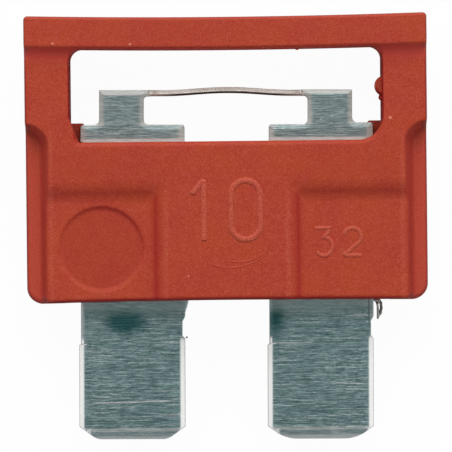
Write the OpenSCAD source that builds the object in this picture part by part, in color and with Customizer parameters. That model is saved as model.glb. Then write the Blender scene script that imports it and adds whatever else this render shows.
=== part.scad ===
// Automotive blade fuse: a moulded housing with a handle window, and one stamped zinc strip in it.
// It lies on its back. X runs across the two blades, Y from the blade tips to the grip bar, Z up.
// The origin is the middle of the seat face, in the middle of the strip's thickness.

/* [Housing] */
// Width of the housing
housing_w = 19.6; // [18:0.1:24]
// Height from the seat face to the ends of the grip bar
housing_h = 13.9; // [13:0.1:18]
// Thickness of the posts, the beam and the centre rib
body_t = 4.1; // [3.6:0.1:4.8]
// Radius of the two corners beside the blades
foot_corner_r = 0.8; // [0.2:0.05:1]
// Radius of the long outer edges
body_edge_r = 0.2; // [0.05:0.05:0.35]

/* [Grip bar] */
// Height of the grip bar
bar_h = 1.53; // [1:0.01:2.2]
// Thickness of the grip bar
bar_t = 5.1; // [4.9:0.1:6.4]
// How far the bar sags at its middle
bar_sag = 0.13; // [0.05:0.01:0.3]
// Radius of the bar's two top edges
bar_top_r = 0.2; // [0.1:0.05:0.48]
// Radius of the bar's two lower edges
bar_under_r = 0.3; // [0.05:0.05:0.45]
// Radius of the bar's two top corners, seen from the front
bar_corner_r = 0.2; // [0.05:0.05:0.6]

/* [Handle window] */
// Width of each post beside the window
post_w = 2.15; // [1.6:0.05:2.3]
// Height of the window's sill above the seat face
sill_y = 7.74; // [7.2:0.02:8.4]
// Radius of the window's two upper corners
window_top_r = 0.55; // [0.1:0.05:0.9]
// Radius of the sill's rounded front and back edges
sill_edge_r = 0.25; // [0.05:0.05:0.4]
// Radius of the front web in the window's lower right corner
web_r = 1.2; // [0.3:0.05:1.4]
// Width of the slanted front web in the window's lower left corner
slant_w = 0.45; // [0.2:0.01:0.7]
// Height of that slanted web
slant_h = 1.17; // [0.6:0.01:1.4]
// Width of the guides behind the strip, in the same corners
guide_w = 0.67; // [0.3:0.01:0.9]
// Height of those guides above the sill
guide_h = 0.98; // [0.4:0.02:1.4]
// Thickness of those guides
guide_t = 0.9; // [0.4:0.1:1.4]

/* [Lower relief] */
// Height of the two sunk blocks above the seat face
block_h = 5.2; // [4.6:0.01:5.6]
// How deep the blocks lie under the rib
block_depth = 0.38; // [0.1:0.01:0.6]
// Length of the slope from the beam down to a block
beam_slope = 0.42; // [0.1:0.01:0.9]
// Width of the centre rib's top
rib_w = 6.5; // [5:0.1:7]
// Length of the slope from the rib down to a block
rib_slope = 0.45; // [0.1:0.01:0.9]
// Width of the thin flange along each side
flange_w = 1.05; // [0.6:0.05:1.3]
// Thickness of the side flanges
flange_t = 2; // [1.4:0.1:2.6]
// Height of the flanges' tops above the seat face
flange_top_y = 8.62; // [7.8:0.02:9.2]
// Diameter of the round recess on one block
recess_d = 4.02; // [2:0.02:4.4]
// Depth of that recess
recess_depth = 0.09; // [0.03:0.01:0.3]

/* [Strip] */
// Thickness of the metal strip
strip_t = 0.65; // [0.5:0.01:0.8]
// Distance between the middles of the two blades
blade_pitch = 9.24; // [8.6:0.02:9.6]
// Width of a blade
blade_w = 5.2; // [4.4:0.05:5.4]
// Length of a blade below the seat face
blade_len = 6.84; // [5:0.02:9]
// Height of the shoulders above the sill
shoulder_h = 0.84; // [0.5:0.02:1.2]
// Height of the necks above the shoulders
neck_h = 1.7; // [0.8:0.02:2.2]
// Width of a neck
neck_w = 2.18; // [1.2:0.02:2.4]
// How far a neck stands in from the blade's outer edge
neck_step = 1.02; // [0.6:0.02:1.3]
// Radius where a neck meets its shoulder
neck_fillet_r = 0.22; // [0.05:0.01:0.4]
// Clearance between the strip and the housing, on each side
strip_gap = 0.04; // [0.02:0.01:0.1]
// Depth of the wider mouth of each slot, in the seat face
mouth_depth = 0.35; // [0.1:0.05:0.8]
// How far a slot's mouth reaches past the blade's edges
mouth_side = 0.46; // [0.4:0.02:0.8]
// How far a slot's mouth reaches past the blade's faces
mouth_face = 0.22; // [0.1:0.02:0.4]

/* [Fuse link] */
// Height of the thin link, seen from the front
link_h = 0.28; // [0.15:0.01:0.5]
// Thickness of the link and of the neck tops that it joins
link_t = 0.3; // [0.2:0.01:0.45]
// Height of the thinned band at the neck tops
band_h = 0.23; // [0.1:0.01:0.4]
// How far the link bows up at its middle
link_bow = 0.13; // [0.05:0.01:0.4]

/* [Blade edges] */
// Width of the pressed bevel along each blade edge
coin_w = 0.3; // [0.1:0.01:0.5]
// Depth of that bevel
coin_d = 0.15; // [0.05:0.01:0.2]
// Distance from the seat face to the start of the bevel
coin_start = 2.2; // [1:0.05:3]
// How far a blade's left edge is set in above the bevel
coin_spread = 0.09; // [0.02:0.01:0.2]
// Width of the clipped corners at a blade's tip
tip_corner_w = 0.87; // [0.4:0.01:1.2]
// Height of the clipped corners
tip_corner_h = 0.55; // [0.3:0.01:0.9]
// Length of the lead-in bevel at a blade's tip
tip_bevel_len = 0.68; // [0.3:0.01:1]
// Depth of the lead-in bevel
tip_bevel_d = 0.2; // [0.05:0.01:0.24]

/* [Staking] */
// Diameter of the hole in each blade, inside the housing
stake_hole_d = 2; // [1.2:0.1:2.6]
// Height of the holes above the seat face
stake_y = 3.2; // [2:0.1:4.4]

/* [Flaws of moulding and stamping] */
// How far the scrap of flash on the window's right side stands out
flash_h = 0.3; // [0.1:0.01:0.5]
// Length of that scrap of flash
flash_len = 0.93; // [0.5:0.01:1.4]
// Thickness of that scrap of flash
flash_t = 0.5; // [0.2:0.05:1]
// Height of its middle above the sill
flash_y = 2.6; // [1:0.05:3]
// Length of the right blade's burr, under the seat face
burr_len = 0.95; // [0.4:0.01:1.4]
// How far the burr stands out beside the blade
burr_w = 0.38; // [0.2:0.01:0.4]
// Thickness of the burr
burr_t = 0.14; // [0.08:0.01:0.3]
// How far the left blade's spur stands out beside it
spur_w = 0.15; // [0.05:0.01:0.3]
// Length of that spur, under the seat face
spur_len = 0.75; // [0.3:0.01:1.2]

/* [Hidden] */
$fn = 96;
fine_fn = 3600; // for the long shallow arcs
past = 1;       // how far a cutting shape runs past what it cuts
bite = 0.25;    // how far a joined shape runs into the one that carries it

half_w = housing_w / 2;
body_z = body_t / 2;
bar_z = bar_t / 2;
block_z = body_z - block_depth;
flange_z = flange_t / 2;
flange_in = half_w - flange_w;
window_half = half_w - post_w;
window_top_y = housing_h - bar_h;
rib_base = rib_w / 2 + rib_slope;
block_mid_x = (rib_base + flange_in) / 2;
arc_r = (half_w * half_w + bar_sag * bar_sag) / (2 * bar_sag);
arc_mid_y = housing_h - bar_sag + arc_r;

blade_half = blade_w / 2;
shoulder_y = sill_y + shoulder_h;
neck_top_y = shoulder_y + neck_h;
neck_mid = blade_half - neck_step - neck_w / 2;
neck_in = blade_pitch / 2 + neck_mid - neck_w / 2;
link_r = (neck_in * neck_in + link_bow * link_bow) / (2 * link_bow);
slot_z = strip_t / 2 + strip_gap;
stake_r = stake_hole_d / 2 - strip_gap;

// An edge's waste: what a radius r takes off a square edge that runs along +Y,
// with the solid towards -X and -Z of it.
module edge_waste(length, r) {
    rotate([90, 0, 0])
        linear_extrude(length, center = true)
            difference() {
                translate([-r, -r]) square(r + past);
                translate([-r, -r]) circle(r);
            }
}

// The filled inner corner of radius r between the +X and +Y axes
module inner_corner(r) {
    difference() {
        square(r);
        translate([r, r]) circle(r);
    }
}

module both_faces() {
    children();
    mirror([0, 0, 1]) children();
}

module both_sides() {
    children();
    mirror([1, 0, 0]) children();
}

// Front outline of the housing below the grip bar
module body_outline() {
    translate([-half_w, foot_corner_r])
        square([housing_w, housing_h - bar_h / 2 - bar_sag - foot_corner_r]);
    translate([-half_w + foot_corner_r, 0])
        square([housing_w - 2 * foot_corner_r, foot_corner_r]);
    both_sides() translate([half_w - foot_corner_r, foot_corner_r]) circle(foot_corner_r);
}

module window_outline() {
    translate([-window_half, sill_y])
        square([2 * window_half, window_top_y - window_top_r - sill_y]);
    translate([-window_half + window_top_r, sill_y])
        square([2 * (window_half - window_top_r), window_top_y - sill_y]);
    both_sides()
        translate([window_half - window_top_r, window_top_y - window_top_r]) circle(window_top_r);
}

// Shaped waste over one sunk block: it slopes up to the beam and up to the rib
module block_waste() {
    intersection() {
        rotate([90, 0, 90])
            linear_extrude(half_w + past)
                polygon([
                    [-past, block_z], [block_h, block_z], [block_h + beam_slope, body_z],
                    [block_h + beam_slope, body_z + past], [-past, body_z + past]
                ]);
        rotate([90, 0, 0])
            linear_extrude(2 * (block_h + beam_slope + past), center = true)
                polygon([
                    [rib_base, block_z], [rib_w / 2, body_z], [rib_w / 2, body_z + past],
                    [half_w + past, body_z + past], [half_w + past, block_z]
                ]);
    }
}

// Waste over one side flange, with its quarter-round top
module flange_waste() {
    translate([0, 0, flange_z])
        linear_extrude(body_z - flange_z + past) {
            translate([flange_in, -past])
                square([flange_w + past, flange_top_y - flange_w + past]);
            translate([half_w, flange_top_y - flange_w]) circle(flange_w);
        }
}

// The bar is a shallow arc, so its rounded section is turned about a far centre
module grip_bar() {
    sweep = 2 * asin(housing_w / arc_r);
    intersection() {
        translate([0, arc_mid_y, 0])
            rotate([0, 0, -90 - sweep / 2])
                rotate_extrude(angle = sweep, $fn = fine_fn)
                    bar_section();
        linear_extrude(bar_t + 2 * past, center = true) {
            translate([-half_w, 0]) square([housing_w, housing_h - bar_corner_r]);
            translate([-half_w + bar_corner_r, 0])
                square([housing_w - 2 * bar_corner_r, housing_h]);
            both_sides()
                translate([half_w - bar_corner_r, housing_h - bar_corner_r]) circle(bar_corner_r);
        }
    }
}

// Section of the bar: its top is on the inside of the arc
module bar_section() {
    translate([arc_r, 0]) {
        translate([bar_top_r, -bar_z]) square([bar_h - bar_top_r - bar_under_r, bar_t]);
        translate([0, -bar_z + bar_top_r]) square([bar_top_r, bar_t - 2 * bar_top_r]);
        translate([bar_h - bar_under_r, -bar_z + bar_under_r])
            square([bar_under_r, bar_t - 2 * bar_under_r]);
        for (s = [-1, 1]) {
            translate([bar_top_r, s * (bar_z - bar_top_r)]) circle(bar_top_r);
            translate([bar_h - bar_under_r, s * (bar_z - bar_under_r)]) circle(bar_under_r);
        }
    }
}

// Web in front of the strip and guide behind it, in the window's lower right corner.
// The web's outline is the child, in the corner between the +X and +Y axes.
module corner_guides() {
    translate([window_half, sill_y, slot_z])
        mirror([1, 0, 0])
            linear_extrude(body_z - slot_z)
                children();
    translate([window_half - guide_w, sill_y - bite, -slot_z - guide_t])
        cube([guide_w + bite, guide_h + bite, guide_t]);
}

// One slot of the housing: side and face are how far it reaches past the blade, top is its end
module slot(side, face, top) {
    translate([-blade_half - side, -past, -strip_t / 2 - face])
        cube([blade_w + 2 * side, top + past, strip_t + 2 * face]);
}

// The space that the strip takes in the housing, and the wider mouths in the seat face,
// where the strip was pushed in and where its burrs lie
module strip_space() {
    both_sides()
        translate([blade_pitch / 2, 0, 0]) {
            slot(strip_gap, strip_gap, shoulder_y + strip_gap);
            slot(mouth_side, mouth_face, mouth_depth);
        }
}

// Scraps of flash where the mould halves met, on the window's right side and its top
module flash() {
    r = (flash_len * flash_len / 4 + flash_h * flash_h) / (2 * flash_h);
    intersection() {
        translate([window_half + r - flash_h, sill_y + flash_y, 0])
            cylinder(r = r, h = flash_t, center = true);
        translate([window_half - flash_h, sill_y + flash_y - flash_len, -flash_t])
            cube([flash_h + post_w / 2, 2 * flash_len, 2 * flash_t]);
    }
}

module housing() {
    color([0.69, 0.28, 0.21]) {
        difference() {
            union() {
                difference() {
                    linear_extrude(body_t, center = true) body_outline();
                    linear_extrude(body_t + 2 * past, center = true) window_outline();
                    both_faces() both_sides() {
                        block_waste();
                        flange_waste();
                        translate([half_w, flange_top_y + housing_h / 2, body_z])
                            edge_waste(housing_h, body_edge_r);
                        translate([half_w, 0, flange_z])
                            edge_waste(2 * (flange_top_y - flange_w), body_edge_r);
                    }
                    both_faces()
                        translate([0, sill_y, body_z])
                            rotate([0, 0, 90])
                                edge_waste(2 * (window_half - web_r), sill_edge_r);
                    translate([-block_mid_x, block_h / 2, block_z - recess_depth])
                        cylinder(d = recess_d, h = recess_depth + past);
                }
                corner_guides() inner_corner(web_r);
                mirror([1, 0, 0])
                    corner_guides() polygon([[0, 0], [slant_w, 0], [0, slant_h]]);
                flash();
                grip_bar();
            }
            strip_space();
        }
        both_sides()
            translate([blade_pitch / 2, stake_y, 0])
                cylinder(r = stake_r, h = strip_t + 4 * strip_gap, center = true);
    }
}

// Front outline of one blade with its shoulder and neck, about the blade's own middle.
// Its outer side is towards +X when out is 1 and towards -X when out is -1.
module blade_outline(out) {
    difference() {
        translate([-blade_half, -blade_len]) square([blade_w, blade_len + shoulder_y]);
        for (s = [-1, 1])
            polygon([
                [s * (blade_half - tip_corner_w), -blade_len],
                [s * blade_half, -blade_len + tip_corner_h],
                [s * (blade_half + past), -blade_len + tip_corner_h],
                [s * (blade_half + past), -blade_len - past],
                [s * (blade_half - tip_corner_w), -blade_len - past]
            ]);
        translate([-blade_half - past, -coin_start])
            square([past + coin_spread, coin_start - strip_gap]);
    }
    neck_x = out * neck_mid;
    translate([neck_x - neck_w / 2, shoulder_y - bite])
        square([neck_w, neck_h - band_h + bite]);
    translate([neck_x + neck_w / 2, shoulder_y]) inner_corner(neck_fillet_r);
    translate([neck_x - neck_w / 2, shoulder_y]) mirror([1, 0]) inner_corner(neck_fillet_r);
}

// Waste of one pressed bevel, along a blade's right edge and front face
module coin_waste(start) {
    translate([blade_half, -start, strip_t / 2])
        rotate([90, 0, 0])
            linear_extrude(blade_len - start + past)
                polygon([[-coin_w, 0], [-coin_w, past], [past, past], [past, -coin_d], [0, -coin_d]]);
}

// Waste of the lead-in bevel across a blade's tip, on the front face
module tip_waste() {
    translate([-blade_half - past, -blade_len, strip_t / 2])
        rotate([90, 0, 90])
            linear_extrude(blade_w + 2 * past)
                polygon([
                    [tip_bevel_len, 0], [tip_bevel_len, past], [-past, past],
                    [-past, -tip_bevel_d], [0, -tip_bevel_d]
                ]);
}

module blade(out) {
    difference() {
        linear_extrude(strip_t, center = true) blade_outline(out);
        both_faces() {
            both_sides() coin_waste(coin_start);
            tip_waste();
        }
        translate([0, stake_y, 0]) cylinder(d = stake_hole_d, h = strip_t + past, center = true);
    }
}

// The link: a thin arc of strip between the necks, and the thinned band over each neck
module link() {
    linear_extrude(link_t, center = true) {
        intersection() {
            translate([0, neck_top_y + link_bow - link_r])
                difference() {
                    circle(link_r, $fn = fine_fn);
                    circle(link_r - link_h, $fn = fine_fn);
                }
            translate([-neck_in - bite, sill_y])
                square([2 * (neck_in + bite), neck_top_y + link_bow + past - sill_y]);
        }
        both_sides()
            translate([neck_in, neck_top_y - band_h - bite])
                square([neck_w, band_h + bite]);
    }
}

// Two torn prongs of zinc on the right blade, close under the seat face
module burr() {
    root = blade_half - bite;
    mid = blade_half + burr_w / 2;
    tip = blade_half + burr_w;
    linear_extrude(burr_t, center = true)
        polygon([
            [root, -strip_gap], [tip, -strip_gap - burr_len / 8], [tip, -burr_len * 0.85],
            [mid + burr_w / 8, -burr_len * 0.8], [mid, -burr_len * 0.5],
            [mid - burr_w / 8, -burr_len], [blade_half + burr_w / 8, -burr_len * 0.95], [root, -burr_len]
        ]);
}

// Small spur on the left blade's inner edge, where the strip was cut from its neighbour
module spur() {
    linear_extrude(strip_t / 2, center = true)
        polygon([
            [blade_half - bite, -strip_gap], [blade_half + spur_w, -strip_gap],
            [blade_half + spur_w / 3, -spur_len / 2], [blade_half - bite, -spur_len]
        ]);
}

module fuse_element() {
    color([0.62, 0.66, 0.66]) {
        translate([-blade_pitch / 2, 0, 0]) {
            blade(-1);
            spur();
        }
        translate([blade_pitch / 2, 0, 0]) {
            blade(1);
            burr();
        }
        link();
    }
}

housing();
fuse_element();
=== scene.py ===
"""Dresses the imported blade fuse: its red moulded housing, its zinc strip, and a plain pale studio."""
import math

import bpy
import numpy as np
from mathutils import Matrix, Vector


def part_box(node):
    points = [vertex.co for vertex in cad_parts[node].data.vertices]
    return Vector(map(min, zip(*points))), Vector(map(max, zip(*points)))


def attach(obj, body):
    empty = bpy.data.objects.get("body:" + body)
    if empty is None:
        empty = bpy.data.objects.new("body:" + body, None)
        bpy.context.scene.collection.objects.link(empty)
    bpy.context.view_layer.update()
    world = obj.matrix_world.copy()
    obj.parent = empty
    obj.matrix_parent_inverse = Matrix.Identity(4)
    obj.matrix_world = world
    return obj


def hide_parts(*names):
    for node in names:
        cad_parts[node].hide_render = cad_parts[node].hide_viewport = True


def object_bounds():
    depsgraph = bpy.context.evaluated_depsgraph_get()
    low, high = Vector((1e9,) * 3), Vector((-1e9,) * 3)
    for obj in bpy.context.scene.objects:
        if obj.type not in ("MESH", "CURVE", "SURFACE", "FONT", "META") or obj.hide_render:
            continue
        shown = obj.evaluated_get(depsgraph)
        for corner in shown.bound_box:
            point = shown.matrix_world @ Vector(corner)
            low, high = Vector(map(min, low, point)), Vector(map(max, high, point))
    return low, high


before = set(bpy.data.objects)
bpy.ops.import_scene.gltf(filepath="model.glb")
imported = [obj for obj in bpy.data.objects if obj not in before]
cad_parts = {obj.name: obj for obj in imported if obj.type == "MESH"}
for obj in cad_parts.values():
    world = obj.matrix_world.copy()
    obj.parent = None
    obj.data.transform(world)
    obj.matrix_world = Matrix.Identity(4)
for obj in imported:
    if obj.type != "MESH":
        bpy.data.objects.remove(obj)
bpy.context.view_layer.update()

# Housing: one opaque red plastic moulding, made in a two-part mould with softly rounded edges.
# It has a thick grip bar on two posts, a window, a beam, a centre rib, two sunk blocks and side
# flanges. Its form is written as distances in millimetres, and a skin is laid where they are zero.
MM = 0.001
half_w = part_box("housing")[1].x / MM
bar_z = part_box("housing")[1].z / MM
body_z = 2.05
housing_h = 13.9
foot_corner_r = 0.8
side_edge_r = 0.2
foot_edge_r = 0.24
left_foot_sag = 0.12
right_foot_sag = 0.07
bar_h = 1.49
bar_sag = 0.13
bar_top_r = 0.16
bar_tilt = 0.03
bar_under_r = 0.14
bar_root_r = 0.6
window_half = 7.65
sill_y = 7.74
sill_edge_r = 0.25
wall_edge_r = 0.07
sill_round_ends = (0.1, 0.6)
foot_round_ends = (0.6, 1.4)
right_web_r = 1.2
left_web_top = (7.585, 8.743)
left_web_foot = (7.206, 7.765)
guide_w = 0.67
guide_h = 0.98
guide_t = 0.9
block_h = 5.04
block_z = 1.67
beam_slope = (0.45, 0.32)
beam_ease = (0.5, 0.06)
rib_half = 3.18
rib_slope = 0.52
slope_edge_r = 0.25
slope_foot_r = 0.17
left_flange_w = 1.12
right_flange_w = 1.08
flange_draft = 0.36
flange_z = 1.0
flange_top_y = 8.62
flange_edge_r = 0.12
flange_foot_r = 0.2
recess_x = -6.13
recess_y = 2.53
recess_r = 2.02
recess_depth = 0.12
recess_middle = 0.6
recess_least = 0.25
recess_lean = (0.35, 0.9)
recess_fade = 2.5
recess_rim_r = 0.18
blade_mid = 4.62
slot_half = 2.72
slot_z = 0.365
slot_top_y = 8.62
mouth_half = 3.06
mouth_z = 0.545
mouth_depth = 0.35
stake_y = 3.2
stake_r = 0.96
flash_y = 10.37
flash_r = 0.5
flash_out = 0.38
flash_front_z = 1.1
flash_half_z = 0.35
# small nubs of plastic, each with its place and its radius
nubs = [(7.6, 9.80, 1.1, 0.14), (3.53, 12.30, 0.0, 0.11)]


def both(a, b, r):
    """Inside a and inside b, with the edge between them rounded to radius r."""
    u = np.maximum(a + r, 0)
    v = np.maximum(b + r, 0)
    return np.minimum(np.maximum(a, b), -r) + np.sqrt(u * u + v * v)


def either(a, b, r):
    """Inside a or inside b, with a fillet of radius r between them."""
    return -both(-a, -b, r)


def ramp(value, start, end):
    """A smooth step from 0 at start to 1 at end."""
    t = np.clip((value - start) / (end - start), 0, 1)
    return t * t * (3 - 2 * t)


def over_slope(across, up, run, rise):
    """Height over a slope that climbs by rise along run, square to the slope."""
    return (up * run - across * rise) / math.hypot(run, rise)


def window_hole(x, y, z):
    wall = np.abs(x) - window_half
    plain = np.maximum(wall, sill_y - y)
    run = left_web_top[0] - left_web_foot[0]
    rise = left_web_top[1] - left_web_foot[1]
    left_web = over_slope(np.abs(x) - left_web_foot[0], y - left_web_foot[1], run, rise)
    webbed = np.where(x > 0, both(wall, sill_y - y, right_web_r), np.maximum(plain, -left_web))
    return np.minimum(webbed, np.maximum(plain, z - slot_z))


def grip_bar(x, y, z):
    arc_r = (half_w**2 + bar_sag**2) / (2 * bar_sag)
    reach = np.sqrt(x * x + (housing_h - bar_sag + arc_r - y) ** 2)
    top = both(arc_r - reach, np.abs(z) - bar_z, bar_top_r)
    # the mould leaves it slightly higher in front than at the back
    return both(top, reach - arc_r - bar_h - bar_tilt * z / bar_z, bar_under_r)


def relief_waste(x, y, z):
    """What the mould leaves out over the blocks and over the flanges, on both faces."""
    drop = body_z - block_z
    up = np.abs(z) - block_z
    # the beam eases down from its front face, and then drops steeply to the block
    ease_y = block_h + beam_slope[0]
    beam = over_slope(y - ease_y, up - beam_slope[1], beam_ease[0], beam_ease[1])
    beam = both(over_slope(y - block_h, up, beam_slope[0], beam_slope[1]), beam, slope_edge_r)
    rib = over_slope(rib_half + rib_slope - np.abs(x), up, rib_slope, drop)
    blocks = both(both(-up, -beam, slope_foot_r), -rib, slope_foot_r)
    flange_w = np.where(x < 0, left_flange_w, right_flange_w)
    above = np.maximum(y - flange_top_y + flange_w, 0)
    sunk = np.clip((body_z - np.abs(z)) / (body_z - flange_z), 0, 1)
    flange = np.sqrt((np.abs(x) - half_w) ** 2 + above**2) - flange_w + flange_draft * sunk
    flange *= math.cos(math.atan2(flange_draft, body_z - flange_z))
    return blocks, both(flange, flange_z - np.abs(z), flange_foot_r)


def strip_slots(x, y, z):
    across = np.abs(np.abs(x) - blade_mid)
    stake = stake_r - np.sqrt(across**2 + (y - stake_y) ** 2)
    slot = np.maximum(across - slot_half, np.abs(z) - slot_z)
    slot = np.maximum(np.maximum(slot, y - slot_top_y), stake)
    mouth = np.maximum(across - mouth_half, np.abs(z) - mouth_z)
    return np.minimum(slot, np.maximum(mouth, y - mouth_depth))


def housing_shape(x, y, z):
    above_sill = ramp(y, sill_y + sill_round_ends[0], sill_y + sill_round_ends[1])
    sill_soft = sill_edge_r + (wall_edge_r - sill_edge_r) * above_sill
    inside_bar = y - housing_h + bar_h / 2 + bar_sag
    plate = both(np.maximum(np.abs(z) - body_z, inside_bar), -window_hole(x, y, z), sill_soft)
    form = either(plate, grip_bar(x, y, z), bar_root_r)
    blocks, flanges = relief_waste(x, y, z)
    form = both(both(form, -blocks, slope_edge_r), -flanges, flange_edge_r)
    # the round mark is sunk deepest at its upper right and nearly runs out at its lower left
    lean_up = recess_lean[1] * (y - recess_y) + recess_lean[0] * (x - recess_x)
    sunk = recess_depth * np.clip(recess_middle + lean_up / (recess_fade * recess_r), recess_least, 1)
    recess = np.sqrt((x - recess_x) ** 2 + (y - recess_y) ** 2) - recess_r
    recess = both(recess, block_z - sunk - z, recess_rim_r)
    form = both(form, -recess, recess_rim_r)
    guide = both(window_half - guide_w - np.abs(x), y - sill_y - guide_h, wall_edge_r)
    guide = both(guide, np.abs(z + slot_z + guide_t / 2) - guide_t / 2, wall_edge_r)
    form = np.minimum(form, np.maximum(guide, sill_y - sill_edge_r - y))
    flash = np.sqrt((x - window_half - flash_r + flash_out) ** 2 + (y - flash_y) ** 2) - flash_r
    form = either(form, both(flash, np.abs(z - flash_front_z) - flash_half_z, side_edge_r), wall_edge_r)
    for nub_x, nub_y, nub_z, nub_r in nubs:
        nub = np.sqrt((x - nub_x) ** 2 + (y - nub_y) ** 2 + (z - nub_z) ** 2) - nub_r
        form = either(form, nub, wall_edge_r)
    foot_sag = np.where(x < 0, left_foot_sag, right_foot_sag) * (x / half_w) ** 2
    outline = both(np.abs(x) - half_w, -y - foot_sag, foot_corner_r)
    edge_r = foot_edge_r + (side_edge_r - foot_edge_r) * ramp(y, *foot_round_ends)
    form = both(form, outline, edge_r)
    return np.maximum(form, -strip_slots(x, y, z))


def lay_skin(shape, low, high, step):
    """Vertices and outward quads of the surface where the shape's distance is zero."""
    x, y, z = (np.arange(a, b + step, step) for a, b in zip(low, high))
    layers = [
        shape(x[:, None, None], y[None, :, None], layer[None, None, :]).astype(np.float32)
        for layer in np.array_split(z, 12)
    ]
    field = np.concatenate(layers, axis=2)
    corners, spots = [], []
    for axis in range(3):
        order = (axis, (axis + 1) % 3, (axis + 2) % 3)
        turned = field.transpose(order)
        hit = np.argwhere((turned[:-1] < 0) != (turned[1:] < 0))
        near = turned[:-1][tuple(hit.T)]
        far = turned[1:][tuple(hit.T)]
        spot = np.empty(hit.shape)
        spot[:, order] = hit
        spot[:, axis] += near / (near - far)
        ring = np.array([(0, -1, -1), (0, 0, -1), (0, 0, 0), (0, -1, 0)])
        around = np.where((near < 0)[:, None, None], hit[:, None] + ring, hit[:, None] + ring[::-1])
        cell = np.empty_like(around)
        cell[:, :, order] = around
        corners.append(np.ravel_multi_index(cell.reshape(-1, 3).T, field.shape))
        spots.append(np.repeat(spot, 4, axis=0))
    corners = np.concatenate(corners)
    spots = np.concatenate(spots)
    _, quads = np.unique(corners, return_inverse=True)
    count = np.bincount(quads)
    points = np.stack([np.bincount(quads, spots[:, i]) / count for i in range(3)], axis=1)
    return points * step + np.array(low), quads.reshape(-1, 4)


def lean(shape, spots, reach):
    """How the shape's distance grows along X, Y and Z at each spot."""
    steps = reach * np.eye(3)
    gains = [shape(*(spots + s).T) - shape(*(spots - s).T) for s in steps]
    return np.stack(gains, axis=1) / (2 * reach)


def settle(shape, spots, reach):
    """Moves each spot onto the shape's surface, by at most its reach."""
    for _ in range(2):
        way = lean(shape, spots, reach / 5)
        steep = np.maximum((way**2).sum(axis=1), 0.25)
        spots = spots - np.clip((shape(*spots.T) / steep)[:, None] * way, -reach, reach)
    return spots


def plain_mesh(piece):
    """Swaps a piece for the plain mesh that its modifiers make, under the same name."""
    seen = piece.evaluated_get(bpy.context.evaluated_depsgraph_get())
    mesh = bpy.data.meshes.new_from_object(seen)
    name = piece.name
    bpy.data.objects.remove(piece)
    mesh.name = name
    piece = bpy.data.objects.new(name, mesh)
    bpy.context.scene.collection.objects.link(piece)
    return piece


def mould(name, shape, low, high, step, share):
    """A closed mesh of the shape: skinned, thinned to a share of its faces, then set true again."""
    points, quads = lay_skin(shape, low, high, step)
    mesh = bpy.data.meshes.new(name + "_skin")
    mesh.from_pydata(points.tolist(), [], quads.tolist())
    piece = bpy.data.objects.new(name, mesh)
    bpy.context.scene.collection.objects.link(piece)
    piece.modifiers.new("thin", "DECIMATE").ratio = share
    piece = plain_mesh(piece)
    mesh = piece.data
    spots = np.empty(len(mesh.vertices) * 3)
    mesh.vertices.foreach_get("co", spots)
    spots = settle(shape, spots.reshape(-1, 3), step / 2)
    way = lean(shape, spots, step / 3)
    way /= np.maximum(np.linalg.norm(way, axis=1), 1e-6)[:, None]
    mesh.vertices.foreach_set("co", (spots * MM).ravel())
    mesh.polygons.foreach_set("use_smooth", np.ones(len(mesh.polygons), dtype=bool))
    mesh.normals_split_custom_set_from_vertices(way)
    return piece


class Wire:
    """An output in a node tree. Arithmetic on it adds the Math nodes that work it out."""

    def __init__(self, recipe, socket):
        self.recipe = recipe
        self.socket = socket

    def join(self, operation, first, second):
        vector = any(isinstance(v, tuple) or getattr(v, "is_vector", False) for v in (first, second))
        kind = "ShaderNodeVectorMath" if vector else "ShaderNodeMath"
        return self.recipe.node(kind, {"operation": operation}, {0: first, 1: second})

    @property
    def is_vector(self):
        return self.socket.type == "VECTOR"

    def out(self, name):
        """Another output of the same node."""
        return Wire(self.recipe, self.socket.node.outputs[name])

    def __add__(self, other):
        return self.join("ADD", self, other)

    def __radd__(self, other):
        return self.join("ADD", other, self)

    def __sub__(self, other):
        return self.join("SUBTRACT", self, other)

    def __rsub__(self, other):
        return self.join("SUBTRACT", other, self)

    def __mul__(self, other):
        return self.join("MULTIPLY", self, other)

    def __rmul__(self, other):
        return self.join("MULTIPLY", other, self)

    def __neg__(self):
        return self.join("MULTIPLY", self, -1.0)

    def __abs__(self):
        return self.recipe.node("ShaderNodeMath", {"operation": "ABSOLUTE"}, {0: self})


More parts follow.
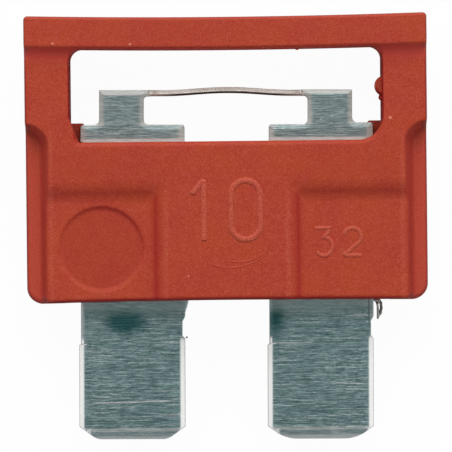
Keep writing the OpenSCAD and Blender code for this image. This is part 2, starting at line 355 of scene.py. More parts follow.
class Recipe:
    """A node tree that is written as expressions."""

    def __init__(self, tree):
        self.tree = tree
        self.tree.nodes.clear()

    def node(self, kind, settings, sockets, output=0):
        """Adds a node: its settings first, then the values or links of its sockets."""
        made = self.tree.nodes.new(kind)
        for setting, value in settings.items():
            if setting == "stops":
                for _ in value[2:]:
                    made.color_ramp.elements.new(0.5)
                for stop, (position, colour) in zip(made.color_ramp.elements, value):
                    stop.position = position
                    stop.color = colour
            else:
                setattr(made, setting, value)
        for socket, value in sockets.items():
            if isinstance(value, Wire):
                self.tree.links.new(value.socket, made.inputs[socket])
            else:
                made.inputs[socket].default_value = value
        return Wire(self, made.outputs[output]) if len(made.outputs) else None

    def blend(self, share, first, second):
        """Goes from the first colour to the second as the share goes from 0 to 1."""
        return self.node("ShaderNodeMix", {"data_type": "RGBA"}, {0: share, 6: first, 7: second}, 2)

    def between(self, value, low, high):
        """0 where the value is under low, 1 where it is over high, and smooth in between."""
        sockets = {0: value, 1: low, 2: high, 3: 0.0, 4: 1.0}
        return self.node("ShaderNodeMapRange", {"interpolation_type": "SMOOTHSTEP"}, sockets)

    def ramp(self, value, stops):
        """The colour for a value, from (value, colour) stops in rising order."""
        return self.node("ShaderNodeValToRGB", {"stops": stops}, {0: value})

    def larger(self, first, second):
        return self.node("ShaderNodeMath", {"operation": "MAXIMUM"}, {0: first, 1: second})

    def along(self, vector):
        """The X, Y and Z of a vector."""
        parts = self.node("ShaderNodeSeparateXYZ", {}, {0: vector})
        return parts.out("X"), parts.out("Y"), parts.out("Z")

    def distance(self, place, spot, weights):
        """How far a place is from a spot, with each axis weighted."""
        away = (place - spot) * weights
        return self.node("ShaderNodeVectorMath", {"operation": "LENGTH"}, {0: away}, 1)

    def noise(self, place, scale, detail, rough):
        sockets = {"Vector": place, "Scale": scale, "Detail": detail, "Roughness": rough}
        return self.node("ShaderNodeTexNoise", {}, sockets)

    def place(self):
        """Where a point of the piece lies, in millimetres."""
        return self.node("ShaderNodeTexCoord", {}, {}, 3) * (1 / MM, 1 / MM, 1 / MM)

    def facing(self):
        """Which way the surface of the piece faces, along X, Y and Z."""
        return self.along(self.node("ShaderNodeTexCoord", {}, {}, 1))


def new_finish(name):
    material = bpy.data.materials.new(name)
    material.use_nodes = True
    return material, Recipe(material.node_tree)


housing = mould(
    "housing_moulding", housing_shape, low=(-10, -0.3, -2.7), high=(10, 14.1, 2.7), step=0.06, share=0.3
)

bar_foot_y = housing_h - bar_h - bar_sag
rib_edge_x = 2.98
flange_edge_x = 8.57
scuff_w = 0.05
scuff_soft = 0.12
flange_wall_x = (8.3, 8.6)
flange_floor_x = (8.85, 9.1)
deep_red = (0.385, 0.041, 0.023, 1)
warm_red = (0.40, 0.050, 0.019, 1)
lit_flange_red = (0.47, 0.062, 0.038, 1)
mottled_red = (0.43, 0.062, 0.034, 1)
grain_peak_red = (0.56, 0.12, 0.072, 1)
grain_pit_red = (0.28, 0.022, 0.013, 1)
recess_red = (0.30, 0.026, 0.016, 1)
# painted highlight along raised edges, and wear on the scuffed figures
edge_highlight_and_rubbed_red = (0.56, 0.13, 0.085, 1)
# painted shade on slopes and walls
painted_shade_red = (0.31, 0.013, 0.012, 1)
lit_corner_red = (0.60, 0.07, 0.055, 1)
# painted shade along the outermost walls
painted_rim_shade_red = (0.13, 0.045, 0.045, 1)
speck_pink = (0.75, 0.28, 0.2, 1)
# pale specks and a pale scrap of flash, each with its place and its radius
specks = [
    (8.0, 8.80, 2.05, 0.09),
    (-4.62, 12.48, 2.55, 0.07),
    (-8.38, 12.55, 2.55, 0.07),
    (-1.9, 1.2, 2.05, 0.05),
    (7.15, 10.37, 1.1, 0.42),
]


def red_finish(name, scuffed):
    """Red plastic with a spark-worn grain, painted shade and painted highlights. A scuffed share of it is
    worn paler on top.
    """
    finish, red = new_finish(name)
    place = red.place()
    x, y, z = red.along(place)
    _, face_y, face_z = red.facing()
    side = 1 - abs(face_z)
    clouds = red.noise(place, 0.55, 3.0, 0.55)
    mottle = red.noise(place, 3.2, 3.0, 0.7)
    grain = red.noise(place, 13.0, 2.0, 0.7)
    tone = red.blend(red.between(clouds, 0.35, 0.65), deep_red, warm_red)
    # painted light: the flanges lie deep beside the body, and are painted warmer for the light that it
    # throws back
    painted_flange_light = red.between(abs(x), *flange_floor_x) * red.between(y, flange_top_y, flange_top_y - 0.5)
    tone = red.blend(painted_flange_light * 0.7, tone, lit_flange_red)
    tone = red.blend(red.between(mottle, 0.4, 0.66) * 0.4, tone, mottled_red)
    tone = red.blend(red.between(grain, 0.48, 0.66) * 0.36, tone, grain_peak_red)
    tone = red.blend(red.between(grain, 0.46, 0.3) * 0.25, tone, grain_pit_red)
    # the sunk round mark is a little darker
    sunk = red.distance(place, (recess_x, recess_y, block_z), (1, 1, 0))
    sunk = red.between(sunk, recess_r, recess_r - 0.15) * red.between(z, 0.0, 0.1)
    tone = red.blend(sunk * 0.3, tone, recess_red)
    # painted highlights: thin pale lines along the raised edges, beside the centre rib and along each side
    # flange. The scuffed share, on the raised figures, is worn paler.
    rib_edge = red.between(abs(abs(x) - rib_edge_x), scuff_w + scuff_soft, scuff_w)
    rib_edge = rib_edge * red.between(y, block_h + 0.5, block_h)
    flange_edge = red.between(abs(abs(x) - flange_edge_x), scuff_w + scuff_soft, scuff_w)
    flange_edge = flange_edge * red.between(y, flange_top_y - 0.1, flange_top_y - 1)
    edge_highlight_and_rubbed = red.larger(rib_edge, flange_edge) * red.between(z, 0.0, 0.1) * 0.24
    edge_highlight_and_rubbed = red.larger(edge_highlight_and_rubbed, scuffed) * red.between(grain, 0.3, 0.6)
    tone = red.blend(edge_highlight_and_rubbed, tone, edge_highlight_and_rubbed_red)
    # painted shade: slopes and walls that do not face the lamp are painted deeper in colour
    painted_shade = red.between(side, 0.02, 0.2) * red.between(face_y, 0.3, 0.05)
    painted_shade = painted_shade * red.between(abs(z), bar_z - 0.1, body_z) * (0.2 if scuffed else 0.9)
    painted_shade = painted_shade * red.between(y, bar_foot_y - 0.2, bar_foot_y - 0.9)
    painted_shade = painted_shade * (1 - red.between(abs(x), *flange_wall_x) * 0.52)
    tone = red.blend(painted_shade, tone, painted_shade_red)
    # painted light: the corner under the bar is painted warmer, for the light that the plastic throws back
    painted_corner_light = red.between(abs(z), bar_z - 0.02, bar_z - 0.12)
    painted_corner_light = painted_corner_light * red.between(y, bar_foot_y - 0.8, bar_foot_y - 0.1)
    painted_corner_light = painted_corner_light * red.between(y, bar_foot_y + 0.3, bar_foot_y + 0.15)
    tone = red.blend(painted_corner_light * 0.9, tone, lit_corner_red)
    # painted shade: the outermost walls are painted darker, to a thin dull line along the edges
    rim = red.between(abs(x), half_w - 0.3, half_w - 0.15)
    rim = red.larger(rim, red.between(y, housing_h - 0.4, housing_h - 0.25))
    rim = red.larger(rim, red.between(y, 0.3, 0.15)) * red.between(side, 0.2, 0.45)
    tone = red.blend(rim * red.between(side, 0.97, 0.85) * 0.45, tone, painted_rim_shade_red)
    # stray specks are paler, and so is the scrap of flash on the right post
    for speck_x, speck_y, speck_z, speck_r in specks:
        speck = red.distance(place, (speck_x, speck_y, speck_z), (1, 1, 1))
        tone = red.blend(red.between(speck, speck_r, speck_r / 2) * 0.75, tone, speck_pink)
    relief = red.node(
        "ShaderNodeBump", {}, {"Height": mottle * 0.6 + grain, "Strength": 0.55, "Distance": 3e-5}
    )
    skin = red.node(
        "ShaderNodeBsdfPrincipled",
        {},
        {
            "Base Color": tone,
            "Roughness": red.between(mottle, 0.2, 0.8) * 0.14 + red.between(side, 0.2, 0.7) * 0.35 + 0.42,
            "Specular IOR Level": 0.12,
            "Normal": relief,
        },
    )
    red.node("ShaderNodeOutputMaterial", {}, {"Surface": skin})
    return finish


red_plastic = red_finish("red_moulded_plastic", 0.0)
housing.data.materials.append(red_plastic)
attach(housing, "root")
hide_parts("housing")

# Raised figures: the current on the rib and the voltage on the right block, cut into the mould as
# grooves, so that they stand up as low ridges. One tree sweeps each stroke and rounds its ends.
figure_w = 0.36
figure_rise = 0.11
small_figure_w = 0.24
small_figure_rise = 0.08
figure_sunk = 0.5
stroke_step = 0.03
step_share = 0.3
ridge_sides = 14
end_least = 0.0004
rib_figure_y = 2.93
rib_figure_h = 2.88
one_x = -1.12
flag_w = 0.55
flag_h = 0.62
zero_x = 0.92
zero_half = 0.72
block_figure_y = 2.11
block_figure_h = 1.34
three_x = 4.71
two_x = 6.11
small_half = 0.43
bowl_half = 0.45
scuffed_plastic = red_finish("red_scuffed_plastic", 0.5)


def arc(x, y, half_across, half_up, start, end, pieces=14):
    """Points along part of an oval, between two angles in degrees."""
    turns = [math.radians(start + (end - start) * i / pieces) for i in range(pieces + 1)]
    return [(x + half_across * math.cos(t), y + half_up * math.sin(t)) for t in turns]


def raised_stroke_tree():
    """Sweeps an oval bar along each spline. What stands out of the surface is a low ridge."""
    tree = bpy.data.node_groups.new("raised_stroke", "GeometryNodeTree")
    sweep = Recipe(tree)
    inputs = {"Strokes": "Geometry", "Width": "Float", "Rise": "Float", "Finish": "Material"}
    for name, kind in inputs.items():
        tree.interface.new_socket(name, in_out="INPUT", socket_type="NodeSocket" + kind)
    tree.interface.new_socket("Ridges", in_out="OUTPUT", socket_type="NodeSocketGeometry")
    given = sweep.node("NodeGroupInput", {}, {})
    half = given.out("Width") * 0.5
    along = sweep.node("GeometryNodeSplineParameter", {}, {}).out("Length")
    whole = sweep.node("GeometryNodeSplineLength", {}, {}).out("Length")
    looped = sweep.node("GeometryNodeInputSplineCyclic", {}, {})
    from_end = sweep.node("ShaderNodeMath", {"operation": "MINIMUM"}, {0: along, 1: whole - along})
    inset = sweep.node("ShaderNodeMath", {"operation": "DIVIDE", "use_clamp": True}, {0: from_end, 1: half})
    round_end = sweep.node("ShaderNodeMath", {"operation": "SQRT"}, {0: inset * (2 - inset) + end_least})
    size = sweep.node("GeometryNodeSwitch", {"input_type": "FLOAT"}, {0: looped, 1: round_end, 2: 1.0})
    step = sweep.larger(half * step_share, stroke_step * MM)
    sockets = {"Curve": given.out("Strokes"), "Length": step}
    line = sweep.node("GeometryNodeResampleCurve", {"mode": "LENGTH"}, sockets)
    line = sweep.node("GeometryNodeSetCurveNormal", {"mode": "Z_UP"}, {"Curve": line})
    line = sweep.node("GeometryNodeSetCurveRadius", {}, {"Curve": line, "Radius": size})
    ring = sweep.node("GeometryNodeCurvePrimitiveCircle", {}, {"Resolution": ridge_sides, "Radius": 1.0})
    squash = sweep.node("ShaderNodeCombineXYZ", {}, {0: half, 1: given.out("Rise"), 2: 1.0})
    ring = sweep.node("GeometryNodeTransform", {}, {"Geometry": ring, "Scale": squash})
    sockets = {"Curve": line, "Profile Curve": ring, "Fill Caps": True}
    ridge = sweep.node("GeometryNodeCurveToMesh", {}, sockets)
    ridge = sweep.node("GeometryNodeSetShadeSmooth", {}, {"Geometry": ridge})
    ridge = sweep.node("GeometryNodeRealizeInstances", {}, {"Geometry": ridge})
    ridge = sweep.node("GeometryNodeSetMaterial", {}, {"Geometry": ridge, "Material": given.out("Finish")})
    sweep.node("NodeGroupOutput", {}, {"Ridges": ridge})
    return tree


raised_stroke = raised_stroke_tree()


def raise_strokes(name, paths, width, rise, finish):
    """One piece of ridges along paths of points in millimetres. A path is (points, closed)."""
    curve = bpy.data.curves.new(name, "CURVE")
    curve.dimensions = "3D"
    for points, closed in paths:
        spline = curve.splines.new("POLY")
        spline.points.add(len(points) - 1)
        for spot, point in zip(spline.points, points):
            spot.co = (*(c * MM for c in point), 1)
        spline.use_cyclic_u = closed
    piece = bpy.data.objects.new(name, curve)
    bpy.context.scene.collection.objects.link(piece)
    sweep = piece.modifiers.new("sweep", "NODES")
    sweep.node_group = raised_stroke
    given = {"Width": width * MM, "Rise": rise * MM, "Finish": finish}
    for item in raised_stroke.interface.items_tree:
        if item.name in given:
            sweep[item.identifier] = given[item.name]
    piece = plain_mesh(piece)
    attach(piece, "root")
    return piece


def figure_paths(z, figures):
    return [([(x, y, z) for x, y in points], closed) for points, closed in figures]


top = rib_figure_y + rib_figure_h
one = [(one_x - flag_w, top - flag_h), (one_x - 0.1, top - 0.08), (one_x - 0.04, top - 0.02)]
one += [(one_x, top - 0.08), (one_x, rib_figure_y)]
zero = arc(zero_x, top - zero_half, zero_half, zero_half, 0, 180)
zero += arc(zero_x, rib_figure_y + zero_half, zero_half, zero_half, 180, 360)
level = body_z - figure_sunk * figure_rise
paths = figure_paths(level, [(one, False), (zero, True)])
raise_strokes("rib_figures", paths, figure_w, figure_rise, scuffed_plastic)

top = block_figure_y + block_figure_h
three_bar = [(three_x - small_half, top), (three_x + small_half * 0.9, top)]
three_slant = [(three_x + small_half * 0.9, top), (three_x - 0.02, top - 0.5)]
three_bowl = arc(three_x, block_figure_y + bowl_half, small_half, bowl_half, 95, -150)
two_hook = arc(two_x, top - small_half, small_half, small_half, 165, -35)
two_hook += [(two_x - small_half, block_figure_y)]
two_base = [(two_x - small_half, block_figure_y), (two_x + small_half, block_figure_y)]
small_figures = [three_bar, three_slant, three_bowl, two_hook, two_base]
level = block_z - figure_sunk * small_figure_rise
paths = figure_paths(level, [(line, False) for line in small_figures])
raise_strokes("block_figures", paths, small_figure_w, small_figure_rise, scuffed_plastic)

# Mould marks: rings where a turned pin met the rib's face, and the fine line of plastic that
# crept out between the two halves of the mould, round the posts and over the grip bar.
# each ring's middle and radius, and the angles where it starts and ends
rings = [(0.6, 3.72, 1.88, 256, 322), (0.17, 4.17, 2.6, 250, 320)]
ring_w = 0.13
ring_rise = 0.035
ring_sunk = 0.65
seam_w = 0.05
seam_rise = 0.07
seam_from = 7.95
seam_step = 0.25
seam_turn = 0.2
seam_reach = 0.3

arcs = [(arc(x, y, r, r, start, end, pieces=40), False) for x, y, r, start, end in rings]
paths = figure_paths(body_z - ring_sunk * ring_rise, arcs)
raise_strokes("mould_rings", paths, ring_w, ring_rise, red_plastic)

side = [(half_w, foot_corner_r + i * seam_step) for i in range(51)]
corner = arc(half_w - foot_corner_r, foot_corner_r, foot_corner_r, foot_corner_r, -90, 0)
half_path = [(seam_from, 0.0), (seam_from + 0.5, 0.0), *corner[1:-1], *side]
bar_half = half_w - seam_turn
bar_top = [(bar_half - i * bar_half / 20, housing_h) for i in range(20)]
right_path = half_path + bar_top
path = right_path + [(0.0, housing_h)] + [(-x, y) for x, y in reversed(right_path)]
path = settle(housing_shape, np.array([(x, y, 0.0) for x, y in path]), seam_reach)
raise_strokes("mould_seam", [(path.tolist(), False)], seam_w, seam_rise, red_plastic)

# Fuse element: one strip of rolled zinc, stamped to two blades, shoulders, necks and a thin link.
# Its edges are pressed to bevels that are painted pale as a highlight, the tips have a lead-in, and torn
# burrs stay near the seat.
strip_z = 0.325
blade_half = 2.6
blade_len = 6.84
strip_turn = 0.4
strip_pivot_y = 10.0
shoulder_y = 8.58
shoulder_corner_r = 0.14
shoulder_lift = 0.09
neck_top_y = 10.28
neck_mid = 0.49
neck_half = 1.09
neck_foot_r = 0.24
neck_bevel = (0.24, 0.025)
neck_bevel_under = 0.5
coin_w = 0.38
coin_d = 0.15
coin_start = 2.2
coin_taper = (0.9, 2.1)
coin_spread = 0.09
shear = 0.13
shear_ends = ((0.8, 1.1), (1.75, 1.95))
spur = 0.16
spur_start = 0.05
spur_end = 0.75
cut_edge_r = 0.05
coin_edge_r = 0.07
root_edge_r = 0.2
tip_corner_w = 0.87
tip_corner_h = 0.62
tip_corner_r = (0.12, 0.3)
tip_bevel_len = 0.56
tip_bevel_d = 0.2
hole_r = 1.0
band_h = 0.24
band_drop = 0.03
link_h = 0.3
link_low_y = 10.275
link_bow = 0.145
link_bow_half = 3.2
link_mid_x = 0.1
link_end_z = 0.08
link_ridge_z = 0.16
link_ridge = 0.1
link_root_r = 0.2
link_stub = 0.87
link_swell = (3.2, 3.75)
link_sunk = 0.03
link_end_x = 4.0
link_flush_x = 3.3
link_ridge_r = 0.02
link_join_r = 0.04
burr_join_r = 0.03
# torn threads of zinc, each with points along it and its radius
burrs = [
    (
        [(7.3, -0.05, 0.1), (7.48, -0.05, 0.1), (7.58, -0.2, 0.08), (7.6, -0.45, 0.05), (7.56, -0.7, 0.02)],
        0.07,
    ),
    ([(7.56, -0.7, 0.02), (7.46, -0.88, 0.03)], 0.05),
    ([(7.32, -0.08, 0.06), (7.41, -0.22, 0.12), (7.43, -0.5, 0.12), (7.43, -0.94, 0.02)], 0.055),
    ([(-1.95, -1.86, 0.1), (-1.93, -1.84, 0.12)], 0.05),
]


def blade(x, y, z, mid, out):
    """One blade with its shoulder and neck. Its outer side is towards +X when out is 1."""
    u = x - mid
    up = np.abs(z) - strip_z
    left = -u - blade_half + coin_spread * (y > -coin_start)
    sheared = ramp(-y, *shear_ends[0]) * (1 - ramp(-y, *shear_ends[1]))
    spurred = spur * ramp(y, -spur_end, -spur_start) * (y < 0) if out < 0 else 0
    side = np.maximum(left, u - blade_half + shear * sheared - spurred)
    clip = over_slope(y + blade_len - tip_corner_h, np.abs(u) - blade_half, tip_corner_h, tip_corner_w)
    plate = both(np.maximum(side, clip), -blade_len - y, tip_corner_r[out > 0])
    shoulder = shoulder_y + shoulder_lift * (u > neck_mid) * (out > 0)
    plate = both(plate, y - shoulder, shoulder_corner_r)
    neck_side = np.abs(u - out * neck_mid) - neck_half
    neck = np.maximum(neck_side, np.maximum(y - neck_top_y, sill_y - y))
    # the link begins as a short stub of full thickness, with a round root
    stub = np.maximum(np.abs(out * u + link_stub / 2) - link_stub / 2, link_low_y - link_h - y)
    plan = either(plate, neck, neck_foot_r)
    plan = either(plan, np.maximum(stub, y - neck_top_y), link_root_r)
    left_root = (u < 0) * (y > -coin_start) * (y < sill_y)
    form = both(plan, up, np.where(left_root, root_edge_r, cut_edge_r))
    # both edges of the blade are pressed: the left bevel starts at a step, the right one runs in
    width = coin_w * np.where(u < 0, 1.0, ramp(-y, *coin_taper))
    bevel = over_slope(np.abs(u) - blade_half + width, up, coin_w, -coin_d)
    bevel = np.where(u < 0, np.minimum(bevel, -y - coin_start), bevel)
    form = both(form, np.where(y < 0, bevel, -1), coin_edge_r)
    bevel = over_slope(plan + neck_bevel[0], up, neck_bevel[0], -neck_bevel[1])
    form = np.maximum(form, np.where(y > sill_y - neck_bevel_under, bevel, -1))
    form = np.maximum(form, over_slope(-y - blade_len + tip_bevel_len, up, tip_bevel_len, -tip_bevel_d))
    form = np.maximum(form, over_slope(y - neck_top_y + band_h, up, band_h, -band_drop))
    return np.maximum(form, hole_r - np.sqrt(u * u + (y - stake_y) ** 2))


def fuse_link(x, y, z):
    """A bowed ribbon with a long face towards the bar and a steep one towards the sill."""
    rise = link_bow * (0.5 + 0.5 * np.cos(np.pi * np.clip((x - link_mid_x) / link_bow_half, -1, 1)))
    up = y - link_low_y - rise + link_h
    swell = (strip_z - link_sunk - link_ridge_z) * ramp(np.abs(x), *link_swell)
    over_ridge = np.abs(z) - link_ridge_z - swell
    upper = over_slope(up - link_ridge, over_ridge, link_h - link_ridge, link_end_z - link_ridge_z)
    lower = over_slope(link_ridge - up, over_ridge, link_ridge, link_end_z - link_ridge_z)
    ribbon = np.maximum(np.maximum(-up, up - link_h), both(upper, lower, link_ridge_r))
    return np.maximum(ribbon, np.abs(x) - link_end_x)


def torn_thread(x, y, z, start, end, r):
    along = np.array(end) - np.array(start)
    share = (x - start[0]) * along[0] + (y - start[1]) * along[1] + (z - start[2]) * along[2]
    share = np.clip(share / (along**2).sum(), 0, 1)
    away = [c - s - share * a for c, s, a in zip((x, y, z), start, along)]
    return np.sqrt(away[0] ** 2 + away[1] ** 2 + away[2] ** 2) - r


def strip_shape(x, y, z):
    # the strip lies slightly turned in its slots
    turn_cos = math.cos(math.radians(strip_turn))
    turn_sin = math.sin(math.radians(strip_turn))
    down = y - strip_pivot_y
    x, y = x * turn_cos - down * turn_sin, strip_pivot_y + x * turn_sin + down * turn_cos
    form = np.minimum(blade(x, y, z, -blade_mid, -1), blade(x, y, z, blade_mid, 1))
    form = either(form, fuse_link(x, y, z), link_join_r)
    form = np.maximum(form, np.where(np.abs(x) > link_flush_x, y - neck_top_y, -1))
    for points, r in burrs:
        for start, end in zip(points, points[1:]):
            form = either(form, torn_thread(x, y, z, start, end, r), burr_join_r)
    return form


strip = mould(
    "zinc_strip", strip_shape, low=(-7.8, -7.0, -0.44), high=(7.8, 10.6, 0.44), step=0.04, share=0.3
)

stain_place = (-5.1, -1.0, 0.0)
dark_corner_place = (2.3, -0.8, 0.0)
right_roll_x = 6.92
left_roll_x = -7.05
gash_y = -4.88
gash_slope = 0.02
gash_x = -4.6
rolled_greys = [
    (0.37, (0.09, 0.18, 0.19, 1)),
    (0.48, (0.23, 0.365, 0.375, 1)),
    (0.55, (0.37, 0.50, 0.505, 1)),
    (0.65, (0.72, 0.81, 0.80, 1)),
]
cloud_grey = (0.26, 0.395, 0.405, 1)
scratch_white = (0.9, 0.92, 0.92, 1)
pit_white = (0.95, 0.96, 0.95, 1)
stain_grey = (0.022, 0.125, 0.125, 1)
# painted light beside the seat
seat_light_grey = (0.72, 1.0, 1.0, 1)
right_roll_grey = (0.72, 0.78, 0.74, 1)
left_roll_grey = (0.66, 0.66, 0.70, 1)
roll_line_grey = (0.05, 0.10, 0.10, 1)
gash_white = (0.95, 0.95, 0.95, 1)
dull_grey = (0.42, 0.47, 0.465, 1)
# painted highlights on the strip's borders above the sill
border_highlight_grey = (0.62, 0.615, 0.56, 1)
end_highlight_grey = (0.78, 0.78, 0.74, 1)
# painted highlights on the pressed bevels, at the tip's crease and at the tip's end
bevel_highlight_white = (0.96, 0.97, 0.95, 1)
crease_highlight_white = (0.93, 0.96, 0.96, 1)
tip_highlight_grey = (0.85, 0.88, 0.88, 1)
link_grey = (0.58, 0.56, 0.51, 1)
torn_grey = (0.55, 0.53, 0.50, 1)
torn_brown = (0.12, 0.10, 0.085, 1)
# painted shade on the cut sides and under the link
side_shade_dark = (0.05, 0.045, 0.042, 1)

rolled_zinc, zinc = new_finish("rolled_zinc")
place = zinc.place()
x, y, z = zinc.along(place)
_, face_y, face_z = zinc.facing()
upper_part = zinc.between(y, sill_y - 0.3, sill_y)
tilt = 1 - abs(face_z)
lines = zinc.noise(place * (0.45, 22.0, 1.0), 1.0, 2.0, 0.6)
marks = zinc.noise(place * (2.0, 20.0, 1.0), 1.0, 2.0, 0.6)
glints = zinc.noise(place * (7.0, 14.0, 1.0), 1.0, 1.0, 0.5)
scratch = zinc.noise(place * (0.13, 9.0, 1.0), 1.0, 1.0, 0.5)
cloud = zinc.noise(place, 0.7, 3.0, 0.6)
pits = zinc.noise(place, 5.5, 2.0, 0.6)
rolled = lines * 0.5 + marks * 0.3 + glints * 0.2
tone = zinc.ramp(rolled, rolled_greys)
tone = zinc.blend(zinc.between(cloud, 0.3, 0.65) * 0.45, tone, cloud_grey)
tone = zinc.blend(zinc.between(scratch, 0.68, 0.74) * 0.4, tone, scratch_white)
tone = zinc.blend(zinc.between(pits, 0.71, 0.76) * 0.8, tone, pit_white)
# an oily stain on the left blade, and a darker corner on the right one
stain = zinc.between(zinc.distance(place, stain_place, (1.0, 1.5, 0.0)) + cloud * 1.4, 2.2, 1.2)
corner = zinc.distance(place, dark_corner_place, (1.3, 0.45, 0.0)) + cloud * 0.9
corner = zinc.between(corner, 1.35, 0.6)
tone = zinc.blend(zinc.larger(stain, corner) * 0.9, tone, stain_grey)
# painted light: beside the seat the strip is painted a little paler against the housing's shade, and its
# outer edges are rolled over there
painted_seat_light = zinc.between(y, -0.9, -0.1) * (1 - upper_part) * marks
tone = zinc.blend(painted_seat_light * 1.1, tone, seat_light_grey)
by_roll = zinc.between(y, -1.35, -1.2) * (1 - upper_part)
right_roll = zinc.between(x, right_roll_x - 0.02, right_roll_x + 0.04)
tone = zinc.blend(right_roll * by_roll * 0.3, tone, right_roll_grey)
left_roll = zinc.between(x, left_roll_x + 0.08, left_roll_x)
left_roll = left_roll * zinc.between(y, -coin_start - 0.1, -coin_start)
tone = zinc.blend(left_roll * (1 - upper_part) * 0.5, tone, left_roll_grey)
roll_line = zinc.between(abs(x - right_roll_x), 0.05, 0.02) * by_roll * (marks * 0.8 + 0.1)
tone = zinc.blend(roll_line, tone, roll_line_grey)
# one long bright scratch lies across the left blade
gash = zinc.between(abs(y - gash_y - x * gash_slope), 0.045, 0.015)
gash = gash * zinc.between(abs(x - gash_x), 2.2, 1.5)
tone = zinc.blend(gash * 0.7, tone, gash_white)
# above the sill the strip is duller, and its borders there, by the necks, shoulders, neck tops and sill,
# carry a soft painted highlight
tone = zinc.blend(upper_part * 0.45, tone, dull_grey)
from_neck = abs(abs(x) - blade_mid - neck_mid)
in_neck = zinc.between(y, shoulder_y - 0.1, shoulder_y + 0.02)
neck_border = zinc.between(from_neck, neck_half - 0.32, neck_half - 0.1) * in_neck
shoulder_border = zinc.between(abs(abs(x) - blade_mid), blade_half - 0.45, blade_half - 0.2) * (1 - in_neck)
top_border = zinc.between(y, neck_top_y - 0.27, neck_top_y - 0.19)
sill_border = zinc.between(y, sill_y + 0.23, sill_y + 0.13)
border = zinc.larger(zinc.larger(neck_border, shoulder_border), zinc.larger(top_border, sill_border))
border = border * upper_part * (marks * 0.6 + 0.6)
# painted highlight: the pressed bevels of the blades are painted near-white and made less metallic, for the
# light they catch
pressed = zinc.between(tilt, 0.03, 0.07) * zinc.between(y, -1.75, -2.0)
pressed = pressed * zinc.between(abs(abs(x) - blade_mid), blade_half - coin_w - 0.15, blade_half - coin_w)
pale = zinc.larger(border * 0.75, pressed)
tone = zinc.blend(border * 0.6, tone, border_highlight_grey)
ends_border = zinc.larger(top_border, sill_border * 1.3) * upper_part
tone = zinc.blend(ends_border * 0.45, tone, end_highlight_grey)
tone = zinc.blend(pressed, tone, bevel_highlight_white)
# painted highlights: the lead-in bevel at each tip is painted paler, most at its upper crease, and the
# tip's very end is painted pale
lead_in = zinc.between(y, -blade_len + tip_bevel_len + 0.08, -blade_len + tip_bevel_len) * (1 - pressed)
crease = zinc.between(abs(y + blade_len - tip_bevel_len + 0.06), 0.12, 0.04)
tone = zinc.blend(lead_in * (crease * 0.6 + 0.2) * (marks * 1.6), tone, crease_highlight_white)
tone = zinc.blend(zinc.between(y, -blade_len + 0.24, -blade_len + 0.1) * 0.75, tone, tip_highlight_grey)
# painted shade: the cut sides are painted dark, and so is the underside of the thin link between its
# thicker ends
link_part = zinc.between(y, neck_top_y - 0.45, neck_top_y - 0.4) * zinc.between(abs(x), 4.05, 3.6)
tone = zinc.blend(link_part, tone, link_grey)
under = zinc.between(-face_y, 0.15, 0.45) * link_part * zinc.between(abs(x - link_mid_x), 3.8, 2.3)
cut = zinc.between(tilt, 0.3, 0.6) * zinc.between(y, neck_top_y - 0.35, neck_top_y - 0.4)
# the torn burr beside the right blade is a dull grey, and brown on its outer side
torn = zinc.between(x, 7.22, 7.28) * zinc.between(y, 0.05, -0.02)
outer = zinc.between(x, 7.46, 7.5)
tone = zinc.blend(torn, tone, torn_grey)
tone = zinc.blend(torn * outer * 0.8, tone, torn_brown)
dark = zinc.larger(cut * (1 - torn * 0.6) * 0.85, under)
tone = zinc.blend(dark, tone, side_shade_dark)
relief = zinc.node(
    "ShaderNodeBump", {}, {"Height": rolled + pits * 0.2, "Strength": 0.6 - pale * 0.4, "Distance": 2e-5}
)
metal = zinc.node(
    "ShaderNodeBsdfPrincipled",
    {},
    {
        "Base Color": tone,
        "Metallic": 1.0 - zinc.larger(pale * 0.78, link_part * 0.6),
        "Roughness": zinc.between(marks, 0.35, 0.65) * 0.14 + 0.3,
        "Normal": relief,
    },
)
zinc.node("ShaderNodeOutputMaterial", {}, {"Surface": metal})
strip.data.materials.append(rolled_zinc)
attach(strip, "root")
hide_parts("fuse_element")

# Studio: a plain pale floor under the fuse, a light tent that is darker straight above, and one
# soft lamp from the top of the picture. The camera looks straight down, as in the photograph.
floor_half = 0.6
floor_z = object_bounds()[0][2]
paper_glow = 0.965
paper_white = (0.9, 0.9, 0.9, 1)
plain_white = (1, 1, 1, 1)
lamp_place = (0.0, 0.27, 0.25)
lamp_size = (0.4, 0.3)
lamp_watts = 1.38
tent_side = 0.58
tent_top = 0.27
tent_top_from = (0.72, 0.95)
tent_lean = (0.12, 0.28)
tent_share = 0.93
camera_place = (-0.0457, 3.6017, 250.0)
camera_turn = -0.6
camera_lens = 405.8

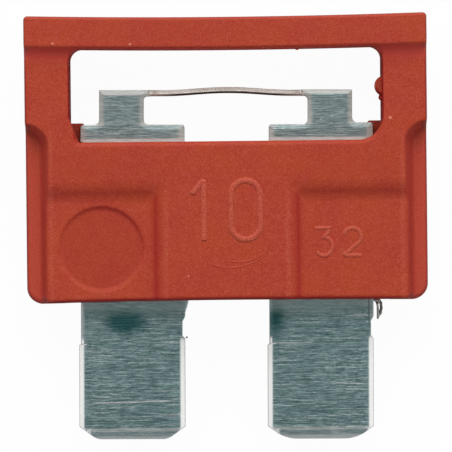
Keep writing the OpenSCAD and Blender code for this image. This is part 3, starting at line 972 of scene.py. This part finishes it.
floor_mesh = bpy.data.meshes.new("floor")
corner_signs = [(-1, -1), (1, -1), (1, 1), (-1, 1)]
floor_corners = [(sx * floor_half, sy * floor_half, floor_z) for sx, sy in corner_signs]
floor_mesh.from_pydata(floor_corners, [], [(0, 1, 2, 3)])
floor = bpy.data.objects.new("floor", floor_mesh)
bpy.context.scene.collection.objects.link(floor)
white_paper, paper = new_finish("white_paper")
rays = paper.node("ShaderNodeLightPath", {}, {})
seen = paper.node(
    "ShaderNodeMath", {"operation": "MAXIMUM"}, {0: rays.out("Is Camera Ray"), 1: rays.out("Is Glossy Ray")}
)
glow = paper.node("ShaderNodeEmission", {}, {"Color": plain_white, "Strength": 1.0})
matt = paper.node("ShaderNodeBsdfDiffuse", {}, {"Color": paper_white})
mixed = paper.node("ShaderNodeMixShader", {}, {0: seen * paper_glow, 1: matt, 2: glow})
paper.node("ShaderNodeOutputMaterial", {}, {"Surface": mixed})
floor_mesh.materials.append(white_paper)

world = bpy.data.worlds.new("light_tent")
bpy.context.scene.world = world
world.use_nodes = True
tent = Recipe(world.node_tree)
ways = tent.node("ShaderNodeSeparateXYZ", {}, {0: tent.node("ShaderNodeTexCoord", {}, {})})
overhead = tent.between(ways.out("Z"), *tent_top_from)
level = tent_side - overhead * (tent_side - tent_top)
level = level * (ways.out("Y") * tent_lean[1] + ways.out("X") * tent_lean[0] + tent_share)
back = tent.node("ShaderNodeBackground", {}, {"Color": plain_white, "Strength": level})
tent.node("ShaderNodeOutputWorld", {}, {"Surface": back})

lamp_data = bpy.data.lights.new("soft_box", "AREA")
lamp_data.shape = "RECTANGLE"
lamp_data.size, lamp_data.size_y = lamp_size
lamp_data.energy = lamp_watts
lamp = bpy.data.objects.new("soft_box", lamp_data)
lamp.location = lamp_place
lamp.rotation_euler = (-math.atan2(lamp_place[1], lamp_place[2]), 0, 0)
bpy.context.scene.collection.objects.link(lamp)

camera_data = bpy.data.cameras.new("camera")
camera_data.sensor_width = 36
camera_data.lens = camera_lens
camera_data.clip_start = 0.01
camera = bpy.data.objects.new("camera", camera_data)
camera.location = [c * MM for c in camera_place]
camera.rotation_euler = (0, 0, math.radians(camera_turn))
bpy.context.scene.collection.objects.link(camera)
bpy.context.scene.camera = camera
bpy.context.scene.view_settings.view_transform = "Standard"
